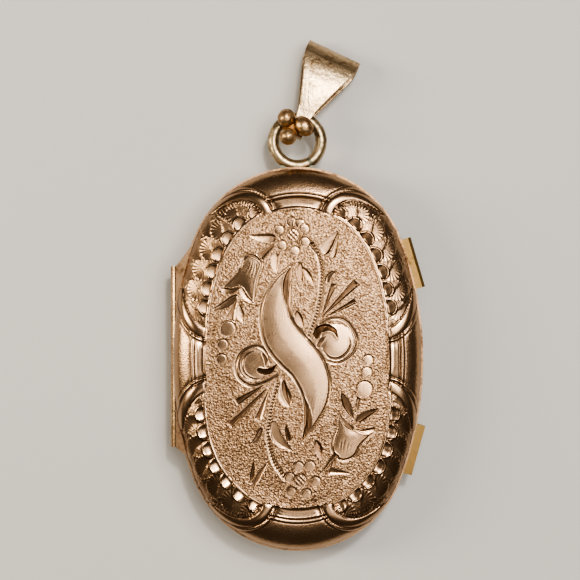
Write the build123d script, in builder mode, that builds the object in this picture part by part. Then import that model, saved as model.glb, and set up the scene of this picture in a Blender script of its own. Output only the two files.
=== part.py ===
"""Oval hinged locket with a fixed ring and a folded bail, lying face up on its back.

Millimetres. X points right, away from the hinge, Y towards the bail and Z up through the face. The
origin is the centre of the flat oval panel that the back rests on.
"""

from build123d import *
import os
from math import asin, atan2, cos, degrees, radians, sin, sqrt

os.makedirs("parts", exist_ok=True)

# Case: two shallow halves that meet at the parting plane. Each oval is drawn with four arcs.
case_half_width = 12.5
case_half_length = 19.05
case_end_radius = 11.0
half_depth = 3.4
parting_gap = 0.04
field_half_width = 9.45
field_half_length = 15.1
field_end_radius = 8.0
field_crown = 0.25
cover_wall = 0.4

# Rims: the oval frames that carry the covers, the hinge and the nail lips.
rim_height = 1.1
rim_wall = 0.6
rim_proud = 0.18
shelf_thickness = 0.2

# Snap lip: stands up from the back half, inside the front rim, open at the hinge.
lip_wall = 0.3
lip_headroom = 0.25
lip_clearance = 0.08
lip_hinge_gap = 1.3
catch_radius = 0.15
catch_stand = 0.05
catch_length = 3.0

# Photo seats: card, clear lens and bezel, stacked on each rim's shelf.
bezel_clearance = 0.26
bezel_wall = 0.45
bezel_lap = 0.6
bezel_recess = 0.15
bezel_front = 0.2
card_thickness = 0.2
card_clearance = 0.05

# Hinge: a straight barrel of five knuckles, sunk into the left wall.
barrel_inset = 0.45
barrel_radius = 0.6
barrel_low_end = -8.8
barrel_high_end = 9.2
barrel_clearance = 0.06
knuckle_count = 5
knuckle_gap = 0.06
pin_radius = 0.25
pin_clearance = 0.03
seat_wall = 0.28
low_tail_length = 0.7
high_tail_length = 1.9

# Nail lips: straight bars on the right, one on each half, staggered.
nail_length = 5.1
nail_reach = 0.88
nail_root = 0.4
nail_height = 0.85
nail_bevel = 0.3
front_nail_station = 9.4
back_nail_station = -9.0

# Suspension ring: a bent wire, closed and seated with solder.
ring_radius = 2.4
wire_radius = 0.57
ring_sink = 0.3
ring_drop = 0.06
ring_cut = 0.35
ring_cut_angle = -54
solder_inset = 0.08
seat_half_width = 1.7
seat_rise = 0.25
seat_half_height = 0.4

# Bail: a tapered strip folded over at its wide end, its legs joined in a tail below the ring's wire.
strip_thickness = 0.35
eye_clearance = 0.18
eye_drop = 0.2
fold_radius = 1.5
fold_distance = 6.3
neck_half_width = 0.72
neck_end = 0.4
top_half_width = 2.83
taper_end = 6.35
tail_length = 2.1
floor_clearance = 0.02
bail_station = 14.1
bail_lean = 25.4

# Trefoil: three beads on a small plate, on the lower front of the bail.
bead_radius = 0.88
bead_sink = 0.63
bead_circle = 1.1
trefoil_offset = -0.5
trefoil_drop = -1.7
lobe_radius = 0.72
plate_thickness = 0.35
plate_sink = 0.25

# Places that follow from the sizes above.
front = 1
back = -1
parting = half_depth
face_depth = parting_gap / 2
shelf_face = rim_height - shelf_thickness
cover_half_width = case_half_width - rim_proud
cover_half_length = case_half_length - rim_proud
cover_end_radius = case_end_radius - rim_proud
lip_inset = rim_wall + lip_clearance
lip_reach = shelf_face - lip_headroom
hinge_x = barrel_inset - case_half_width
channel_radius = barrel_radius + barrel_clearance
seat_edge = hinge_x + channel_radius + seat_wall
bezel_inset = case_half_width + seat_edge + bezel_clearance
lens_inset = bezel_inset + bezel_wall + card_clearance
window_inset = bezel_inset + bezel_wall + bezel_lap
lens_depth = shelf_face - card_thickness
ring_height = parting - face_depth - ring_drop - wire_radius
ring_y = case_half_length - ring_sink + ring_radius + wire_radius
eye_x = ring_radius * sin(radians(bail_station))
eye_y = ring_y + ring_radius * cos(radians(bail_station))
eye_inner_radius = wire_radius + eye_clearance
eye_outer_radius = eye_inner_radius + strip_thickness
bail_dip = degrees(asin((ring_height - fold_radius - floor_clearance) / fold_distance))
bail_across = Vector(1, 0, 0).rotate(Axis.Z, -bail_lean)
bail_along = Vector(0, 1, 0).rotate(Axis.X, -bail_dip).rotate(Axis.Z, -bail_lean)
bail_face = Plane((eye_x, eye_y, ring_height), x_dir=bail_across, z_dir=bail_across.cross(bail_along))
bail_side = Plane((eye_x, eye_y, ring_height), x_dir=bail_along, z_dir=bail_across)


def level(half, depth):
    """The horizontal plane at a depth inside one half, counted from the parting plane."""
    return Plane.XY.offset(parting + half * depth)


def side_radius(half_width, half_length, end_radius):
    """The radius of the two long arcs that run smoothly into an oval's end arcs."""
    spread = half_width**2 + half_length**2 - 2 * half_length * end_radius
    return spread / (2 * (half_width - end_radius))


def arc_oval(half_width, half_length, end_radius, mode=Mode.ADD):
    """A face inside four arcs: two long side arcs and two round ends."""
    long_radius = side_radius(half_width, half_length, end_radius)
    side_center = long_radius - half_width
    end_center = half_length - end_radius
    half_sweep = degrees(atan2(end_center, side_center))
    with BuildLine(mode=Mode.PRIVATE) as outline:
        CenterArc((-side_center, 0), long_radius, -half_sweep, 2 * half_sweep)
        CenterArc((0, end_center), end_radius, half_sweep, 180 - 2 * half_sweep)
        CenterArc((side_center, 0), long_radius, 180 - half_sweep, 2 * half_sweep)
        CenterArc((0, -end_center), end_radius, 180 + half_sweep, 180 - 2 * half_sweep)
    make_face(outline.edges(), mode=mode)


def oval(inset, mode=Mode.ADD):
    """An oval that runs parallel to the case's edge."""
    arc_oval(
        case_half_width - inset,
        case_half_length - inset,
        case_end_radius - inset,
        mode,
    )


def case_x(y):
    """Half the case's width at a place along its side arc."""
    return sqrt(case_side_radius**2 - y**2) - case_side_radius + case_half_width


def case_normal(x, y):
    """The outward direction of the case's side at a point on its arc."""
    return Vector(x + case_side_radius - case_half_width, y, 0).normalized()


case_side_radius = side_radius(case_half_width, case_half_length, case_end_radius)


def finish(piece, name):
    """Labels one piece and writes it."""
    piece.part.label = name
    export_step(piece.part, f"parts/{name}.step")


# Covers: thin domed shells with a quarter-round border. The front's field is slightly crowned, and
# the back's is flat, to rest on.
def dome_sections(wall, crown):
    """The half width, half length, end radius and depth of each oval of one surface of a cover."""
    edge = (cover_half_width - wall, cover_half_length - wall, cover_end_radius - wall)
    inset = wall / 2
    field = (field_half_width - inset, field_half_length - inset, field_end_radius - inset)
    top = half_depth - wall
    shoulder = top - crown
    for angle in range(0, 91, 15):
        inward = 1 - cos(radians(angle))
        rise = sin(radians(angle))
        sizes = [outer - (outer - inner) * inward for outer, inner in zip(edge, field)]
        yield *sizes, rim_height + (shoulder - rim_height) * rise
    if crown > 0:
        for share in (0.8, 0.6, 0.4):
            yield *[size * share for size in field], top - crown * share**2


for half, name, crown in ((front, "front_cover", field_crown), (back, "back_cover", 0)):
    with BuildPart() as cover:
        for width, length, radius, depth in dome_sections(0, crown):
            with BuildSketch(level(half, depth)):
                arc_oval(width, length, radius)
        loft(ruled=True)
        for width, length, radius, depth in dome_sections(cover_wall, crown):
            with BuildSketch(level(half, depth)):
                arc_oval(width, length, radius)
        loft(ruled=True, mode=Mode.SUBTRACT)
    finish(cover, name)

# Rims: an oval band with a shelf inside, and a straight seat for the hinge barrel on the left.
high_tail_end = barrel_high_end + high_tail_length
low_tail_end = barrel_low_end - low_tail_length
seat_outline = [
    (hinge_x, barrel_low_end),
    (hinge_x, barrel_high_end),
    (-case_x(high_tail_end), high_tail_end),
    (rim_wall - case_x(high_tail_end), high_tail_end),
    (seat_edge, barrel_high_end),
    (seat_edge, barrel_low_end),
    (rim_wall - case_x(low_tail_end), low_tail_end),
    (-case_x(low_tail_end), low_tail_end),
]
barrel_length = barrel_high_end - barrel_low_end
barrel_middle = (barrel_high_end + barrel_low_end) / 2
channel_length = barrel_length + 2 * knuckle_gap
barrel_plane = Plane((hinge_x, barrel_low_end, parting), x_dir=(1, 0, 0), z_dir=(0, 1, 0))
rims = {}
for half, name, inner_inset in ((front, "front_rim", rim_wall), (back, "back_rim", lip_inset)):
    with BuildPart() as rim:
        with BuildSketch(level(half, face_depth)):
            oval(0)
            oval(inner_inset, mode=Mode.SUBTRACT)
            with Locations((hinge_x - barrel_inset, barrel_middle)):
                Rectangle(2 * barrel_inset, channel_length, mode=Mode.SUBTRACT)
            with BuildLine():
                Polyline(seat_outline, close=True)
            make_face()
        extrude(amount=half * (rim_height - face_depth))
        with BuildSketch(level(half, shelf_face)):
            oval(rim_wall / 2)
            oval(window_inset, mode=Mode.SUBTRACT)
            with Locations((hinge_x - barrel_inset, barrel_middle)):
                Rectangle(2 * barrel_inset, channel_length, mode=Mode.SUBTRACT)
        extrude(amount=half * shelf_thickness)
        with BuildSketch(barrel_plane.offset(-knuckle_gap)):
            Circle(channel_radius)
        extrude(amount=channel_length, mode=Mode.SUBTRACT)
    finish(rim, name)
    rims[half] = rim

# Snap lip: an upright band on the back's shelf, with a small catch ridge opposite the hinge.
lip_end = barrel_high_end + lip_hinge_gap
with BuildPart() as snap_lip:
    with BuildSketch(level(back, shelf_face)):
        oval(lip_inset)
        oval(lip_inset + lip_wall, mode=Mode.SUBTRACT)
        with Locations((-case_half_width, 0)):
            Rectangle(case_half_width, 2 * lip_end, mode=Mode.SUBTRACT)
    extrude(amount=shelf_face + lip_reach)
    catch_x = case_half_width - lip_inset + catch_stand - catch_radius
    catch_z = parting + lip_reach / 2
    with BuildSketch(Plane((catch_x, -catch_length / 2, catch_z), x_dir=(1, 0, 0), z_dir=(0, 1, 0))):
        Circle(catch_radius)
    extrude(amount=catch_length)
finish(snap_lip, "snap_lip")

# Photo seats: the card lies on the shelf, the lens on the card, and the bezel laps over both.
for half, side in ((front, "front"), (back, "back")):
    with BuildPart() as card:
        with BuildSketch(level(half, shelf_face)):
            oval(lens_inset)
        extrude(amount=-half * card_thickness)
    finish(card, f"{side}_photo_card")

    with BuildPart() as lens:
        with BuildSketch(level(half, lens_depth)):
            oval(lens_inset)
        extrude(amount=-half * (lens_depth - bezel_recess - bezel_front))
    finish(lens, f"{side}_photo_lens")

    with BuildPart() as bezel:
        with BuildSketch(level(half, bezel_recess)):
            oval(bezel_inset)
            oval(window_inset, mode=Mode.SUBTRACT)
        extrude(amount=half * (shelf_face - bezel_recess))
        with BuildSketch(level(half, shelf_face)):
            oval(bezel_inset + bezel_wall)
        extrude(amount=-half * (shelf_face - bezel_recess - bezel_front), mode=Mode.SUBTRACT)
    finish(bezel, f"{side}_photo_bezel")

# Hinge: five knuckles on one pin. Each has a foot that fills its own half's side of the channel.
knuckles = [
    ("back_knuckle_low", back),
    ("front_knuckle_low", front),
    ("back_knuckle_middle", back),
    ("front_knuckle_high", front),
    ("back_knuckle_high", back),
]
knuckle_pitch = (barrel_length + knuckle_gap) / knuckle_count
for index, (name, half) in enumerate(knuckles):
    # The barrel plane's own Y points down, so a front knuckle's foot is drawn on its negative side.
    foot_side = Align.MAX if half == front else Align.MIN
    bore = pin_radius + pin_clearance if half == front else pin_radius
    with BuildPart() as knuckle:
        with BuildSketch(barrel_plane.offset(index * knuckle_pitch)):
            Circle(channel_radius)
            with Locations((0, -half * face_depth)):
                Rectangle(
                    channel_radius,
                    channel_radius,
                    align=(Align.MIN, foot_side),
                    mode=Mode.INTERSECT,
                )
            Circle(barrel_radius)
            Circle(bore, mode=Mode.SUBTRACT)
        extrude(amount=knuckle_pitch - knuckle_gap)
    finish(knuckle, name)

with BuildPart() as hinge_pin:
    with BuildSketch(barrel_plane):
        Circle(pin_radius)
    extrude(amount=barrel_length)
finish(hinge_pin, "hinge_pin")

# Nail lips: bars that lie along the case's edge, with a bevelled outer corner.
for half, name, station in (
    (front, "front_nail_lip", front_nail_station),
    (back, "back_nail_lip", back_nail_station),
):
    root = Vector(case_x(station), station, 0)
    outward = case_normal(root.X, root.Y)
    depth = nail_reach + nail_root
    middle = root + outward * ((nail_reach - nail_root) / 2)
    base = parting + half * face_depth
    bar_plane = Plane((middle.X, middle.Y, base), x_dir=outward, z_dir=(0, 0, 1))
    with BuildPart() as nail_lip:
        with BuildSketch(bar_plane):
            Rectangle(depth, nail_length)
        extrude(amount=half * nail_height)
        outer_face = nail_lip.faces().sort_by(Axis((0, 0, 0), outward))[-1]
        outer_edges = outer_face.edges().filter_by(GeomType.LINE).group_by(Axis.Z)
        chamfer(outer_edges[-1 if half == front else 0], nail_bevel)
        with BuildSketch(level(half, 0)):
            oval(0)
        extrude(amount=half * rim_height, mode=Mode.SUBTRACT)
    finish(nail_lip, name)

# Suspension ring: a wire bent round until its ends nearly meet, let into the case's edge.
cut_sweep = degrees(ring_cut / ring_radius)
ring_plane = Plane((0, ring_y, ring_height)).rotated((0, 0, ring_cut_angle))
ring_axis = Axis((0, ring_y, ring_height), (0, 0, 1))
wire_center = ring_plane.from_local_coords((ring_radius, 0, 0))
wire_plane = Plane(wire_center, x_dir=ring_plane.x_dir, z_dir=ring_plane.y_dir)
with BuildPart() as suspension_ring:
    with BuildSketch(wire_plane):
        Circle(wire_radius)
    revolve(axis=ring_axis, revolution_arc=360 - cut_sweep)
    with BuildSketch(Plane.XY):
        oval(0)
    extrude(amount=2 * half_depth, mode=Mode.SUBTRACT)
finish(suspension_ring, "suspension_ring")

# Solder: a slug that fills the ring's cut, and a fillet under the ring where it meets the rim.
with BuildPart() as ring_joint_solder:
    with BuildSketch(wire_plane):
        Circle(wire_radius - solder_inset)
    revolve(axis=ring_axis, revolution_arc=-cut_sweep)
finish(ring_joint_solder, "ring_joint_solder")

with BuildPart() as ring_seat_solder:
    with BuildSketch(Plane.XY.offset(ring_height - seat_half_height)):
        with Locations((0, case_half_length)):
            Rectangle(2 * seat_half_width, 2 * seat_rise)
        oval(0, mode=Mode.SUBTRACT)
    extrude(amount=2 * seat_half_height)
    add(suspension_ring.part, mode=Mode.SUBTRACT)
    add(ring_joint_solder.part, mode=Mode.SUBTRACT)
finish(ring_seat_solder, "ring_seat_solder")

# Bail: the folded strip's side profile, trimmed to the strip's tapered outline.
with BuildPart() as bail:
    with BuildSketch(bail_side):
        with BuildSketch(mode=Mode.PRIVATE) as inside:
            with Locations((-eye_drop, 0)):
                Circle(eye_inner_radius)
            with Locations((fold_distance, 0)):
                Circle(fold_radius - strip_thickness)
            make_hull()
        with Locations((-eye_drop, 0)):
            Circle(eye_outer_radius)
        with Locations((fold_distance, 0)):
            Circle(fold_radius)
        make_hull()
        Rectangle(tail_length, 2 * strip_thickness, align=(Align.MAX, Align.CENTER))
        add(inside.sketch, mode=Mode.SUBTRACT)
    extrude(amount=top_half_width, both=True)
    with BuildSketch(bail_face.offset(-fold_radius)):
        with BuildLine():
            Polyline(
                (neck_half_width, -tail_length),
                (neck_half_width, neck_end),
                (top_half_width, taper_end),
                (top_half_width, fold_distance + fold_radius),
                (-top_half_width, fold_distance + fold_radius),
                (-top_half_width, taper_end),
                (-neck_half_width, neck_end),
                (-neck_half_width, -tail_length),
                close=True,
            )
        make_face()
    extrude(amount=2 * fold_radius, mode=Mode.INTERSECT)
finish(bail, "bail")

# Trefoil: a three-lobed plate seated on the eye, with a bead on each lobe.
plate_plane = bail_face.offset(eye_outer_radius - plate_sink)
bead_plane = bail_face.offset(eye_outer_radius - plate_sink + plate_thickness)
bead_names = ("bead_bottom", "bead_right", "bead_left")
bead_angles = (-90, 30, 150)
with BuildPart() as trefoil_plate:
    with BuildSketch(plate_plane):
        with Locations((trefoil_offset, trefoil_drop)):
            Circle(lobe_radius)
            with PolarLocations(bead_circle, len(bead_names), start_angle=bead_angles[0]):
                Circle(lobe_radius)
    extrude(amount=plate_thickness)
    add(bail.part, mode=Mode.SUBTRACT)
finish(trefoil_plate, "trefoil_plate")

for name, angle in zip(bead_names, bead_angles):
    bead_x = trefoil_offset + bead_circle * cos(radians(angle))
    bead_y = trefoil_drop + bead_circle * sin(radians(angle))
    bead_center = bead_plane.from_local_coords((bead_x, bead_y, bead_radius - bead_sink))
    with BuildPart(Plane(bead_center, x_dir=bail_face.x_dir, z_dir=bail_face.z_dir)) as bead:
        Sphere(bead_radius)
        split(bisect_by=bead_plane, keep=Keep.TOP)
    finish(bead, name)
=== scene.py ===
from math import atan2, cos, hypot, pi, radians, sin

import bmesh
import bpy
import numpy as np
from mathutils import Matrix, Vector


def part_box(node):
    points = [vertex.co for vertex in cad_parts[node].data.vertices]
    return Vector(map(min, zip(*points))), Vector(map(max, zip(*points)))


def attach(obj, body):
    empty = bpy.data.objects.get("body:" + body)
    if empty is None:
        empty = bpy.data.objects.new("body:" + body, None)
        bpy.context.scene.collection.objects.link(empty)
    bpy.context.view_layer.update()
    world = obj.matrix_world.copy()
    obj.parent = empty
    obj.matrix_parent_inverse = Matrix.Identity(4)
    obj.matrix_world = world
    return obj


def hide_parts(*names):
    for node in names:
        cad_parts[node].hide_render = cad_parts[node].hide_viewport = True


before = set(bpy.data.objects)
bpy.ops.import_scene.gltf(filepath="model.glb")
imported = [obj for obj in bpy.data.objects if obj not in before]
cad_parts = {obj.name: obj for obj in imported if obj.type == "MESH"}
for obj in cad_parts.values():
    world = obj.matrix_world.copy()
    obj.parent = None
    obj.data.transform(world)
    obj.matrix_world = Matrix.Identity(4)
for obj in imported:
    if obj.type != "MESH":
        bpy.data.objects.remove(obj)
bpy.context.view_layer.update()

MM = 0.001

# Camera: straight above the face, level with a point a little above the middle of the case.
eye_x, eye_y, eye_z = -0.73, 6.83, 164.4
camera_data = bpy.data.cameras.new("camera")
camera_data.lens = 100
camera_data.sensor_width = 36
camera_data.clip_start = 0.01
camera = bpy.data.objects.new("camera", camera_data)
camera.location = (eye_x * MM, eye_y * MM, eye_z * MM)
bpy.context.collection.objects.link(camera)
bpy.context.scene.camera = camera


# Studio: a pale floor under four soft lights. A wide one hangs high at the upper right, a small one
# beyond the bail draws the glints, a weak one fills in from the near side, and a warm one stands low on
# the left. The room itself is dim, so the gold keeps its darks.
def soft_light(name, size, place, power, tint):
    """Hangs a soft light that faces the locket."""
    light = bpy.data.lights.new(name, "AREA")
    light.shape = "RECTANGLE"
    light.size, light.size_y = size
    light.energy = power
    light.color = tint
    lamp = bpy.data.objects.new(name, light)
    lamp.location = place
    lamp.rotation_euler = (-Vector(place)).to_track_quat("-Z", "Y").to_euler()
    bpy.context.collection.objects.link(lamp)


soft_light("key_light", (0.205, 0.18), (0.0945, 0.075, 0.30), 0.62, (1, 0.97, 0.93))
soft_light("glint_light", (0.03, 0.03), (0.05, 0.12, 0.30), 0.30, (1, 0.96, 0.90))
soft_light("low_light", (0.20, 0.10), (0.03, -0.085, 0.30), 0.07, (1, 0.95, 0.88))
soft_light("side_light", (0.06, 0.14), (-0.21, 0.03, 0.14), 0.30, (1, 0.91, 0.76))

world = bpy.data.worlds.new("studio")
world.use_nodes = True
world.node_tree.nodes["Background"].inputs["Color"].default_value = (0.10, 0.088, 0.074, 1)
world.node_tree.nodes["Background"].inputs["Strength"].default_value = 1
bpy.context.scene.world = world
bpy.context.scene.view_settings.look = "AgX - High Contrast"

bpy.ops.object.select_all(action="DESELECT")
floor_drop = -0.15 * MM
bpy.ops.mesh.primitive_plane_add(size=0.8, location=(0, 0, floor_drop))
floor = bpy.context.object
floor.name = "floor"
floor_paint = bpy.data.materials.new("floor_paint")
floor_paint.use_nodes = True
floor_shader = floor_paint.node_tree.nodes["Principled BSDF"]
floor_shader.inputs["Base Color"].default_value = (0.60, 0.585, 0.56, 1)
floor_shader.inputs["Roughness"].default_value = 0.9
floor.data.materials.append(floor_paint)


# Back cover: a thin shell of rose gold, domed in a die that also strikes its border with scoops,
# shells and ribbons. Its middle is a plain flat panel, polished and worn by the clothes it lay on.
# Relief this fine is worked out point by point: a Sheet holds the heights of a cover's face.
# The dirt layer of each point carries both dirt and painted shade, which darken the gold.
face_layers = ("polish", "dirt", "strokes", "stroke_place")
far_off = -99.0


class Sheet:
    """The points of a cover's face, with the height, polish, dirt and painted shade, and fine strokes worked
    into each.
    """

    def __init__(self, x, y):
        self.x = x.ravel()
        self.y = y.ravel()
        self.height = np.zeros(self.x.size)
        self.polish = np.zeros(self.x.size)
        self.dirt = np.zeros(self.x.size)
        self.strokes = np.zeros(self.x.size)
        self.stroke_place = np.zeros(self.x.size)

    def along(self, line, reach, among=None):
        """The points near a line: their indices, distance, side of it and share of its length."""
        line = np.asarray(line, float)
        low = line.min(0) - reach
        high = line.max(0) + reach
        near = (self.x > low[0]) & (self.x < high[0]) & (self.y > low[1]) & (self.y < high[1])
        if among is not None:
            near &= among
        index = np.flatnonzero(near)
        px, py = self.x[index], self.y[index]
        best = np.full(index.size, 1e9)
        share = np.zeros(index.size)
        side = np.ones(index.size)
        steps = np.hypot(*np.diff(line, axis=0).T)
        done = np.concatenate(([0], np.cumsum(steps)))
        for (ax, ay), (bx, by), step, start in zip(line[:-1], line[1:], steps, done[:-1]):
            dx, dy = (bx - ax) / step, (by - ay) / step
            run = np.clip((px - ax) * dx + (py - ay) * dy, 0, step)
            rx, ry = px - ax - run * dx, py - ay - run * dy
            away = np.hypot(rx, ry)
            closer = away < best
            best[closer] = away[closer]
            share[closer] = (start + run[closer]) / done[-1]
            side[closer] = np.where(dx * ry - dy * rx < 0, -1, 1)[closer]
        keep = best < reach
        return index[keep], best[keep], side[keep], share[keep]

    def shine(self, index, value):
        """Polishes some points, where they aren't brighter already."""
        self.polish[index] = np.maximum(self.polish[index], value)

    def soil_and_shade(self, index, value):
        """Darkens some points with dirt and painted shade, where they aren't darker already."""
        self.dirt[index] = np.maximum(self.dirt[index], value)

    def signed(self, line, reach, among=None):
        """How far each point lies to the left of a line, or far_off beyond its reach, and its share."""
        index, away, side, share = self.along(line, reach, among)
        out = np.full(self.x.size, far_off)
        out[index] = away * side
        place = np.zeros(self.x.size)
        place[index] = share
        return out, place


def curve(*points, steps=8):
    """A smooth line through given points."""
    points = np.asarray(points, float)
    points = np.vstack((2 * points[0] - points[1], points, 2 * points[-1] - points[-2]))
    out = []
    for a, b, c, d in zip(points[:-3], points[1:-2], points[2:-1], points[3:]):
        for t in np.linspace(0, 1, steps, endpoint=False):
            bend = (2 * a - 5 * b + 4 * c - d) * t**2 + (3 * b - a - 3 * c + d) * t**3
            out.append(0.5 * (2 * b + (c - a) * t + bend))
    out.append(points[-2])
    return np.array(out)


def bump(value, center, width):
    """A smooth bump of height 1."""
    return np.exp(-(((value - center) / width) ** 2))


def arc_oval(half_width, half_length, end_radius, around):
    """Evenly spaced points on an oval of four arcs, two long sides and two round ends."""
    spare = half_width - end_radius
    long_radius = (half_width**2 + half_length**2 - 2 * half_length * end_radius) / (2 * spare)
    side_center = long_radius - half_width
    end_center = half_length - end_radius
    sweep = atan2(end_center, side_center)
    side_run = long_radius * sweep
    end_run = end_radius * (pi / 2 - sweep)
    run = np.linspace(0, 4 * (side_run + end_run), around, endpoint=False)
    quarter, rest = np.divmod(run, side_run + end_run)
    rest = np.where(quarter % 2 == 1, side_run + end_run - rest, rest)
    on_side = rest < side_run
    turn = np.where(on_side, rest / long_radius, sweep + (rest - side_run) / end_radius)
    x = np.where(on_side, long_radius * np.cos(turn) - side_center, end_radius * np.cos(turn))
    y = np.where(on_side, long_radius * np.sin(turn), end_radius * np.sin(turn) + end_center)
    x *= np.where((quarter == 1) | (quarter == 2), -1, 1)
    y *= np.where(quarter >= 2, -1, 1)
    return x, y


def dome(rings, field, edge, crown, top, foot, around):
    """A domed oval, ring by ring: over the field, then down the quarter-round border to the foot."""
    x, y, z = [], [], []
    field_x, field_y = arc_oval(*field, around)
    for share in rings[0]:
        x.append(field_x * share)
        y.append(field_y * share)
        z.append(np.full(around, top - crown * share**2))
    for turn in np.linspace(pi / 2, 0, rings[1] + 1)[1:]:
        inward = 1 - cos(turn)
        oval = [outer - (outer - inner) * inward for outer, inner in zip(edge, field)]
        ring_x, ring_y = arc_oval(*oval, around)
        x.append(ring_x)
        y.append(ring_y)
        z.append(np.full(around, foot + (top - crown - foot) * sin(turn)))
    return np.array(x), np.array(y), np.array(z)


def outward(x, y, z):
    """The outward direction at each point of a ring-by-ring surface."""
    p = np.stack((x, y, z), -1)
    n = np.cross(np.gradient(p, axis=0), np.roll(p, -1, axis=1) - np.roll(p, 1, axis=1))
    return n / np.linalg.norm(n, axis=-1, keepdims=True)


def edge_gap(x, y, n, shares):
    """How far inside the field's edge each of its points lies, ring by ring."""
    field_rings = len(shares)
    # The way out is read a little down the border, where the face leans clearly outwards.
    edge_normal = n[field_rings + 20]
    support = np.abs(x[field_rings - 1] * edge_normal[:, 0] + y[field_rings - 1] * edge_normal[:, 1])
    support /= np.hypot(edge_normal[:, 0], edge_normal[:, 1])
    return (1 - shares)[:, None] * support[None, :]


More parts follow.
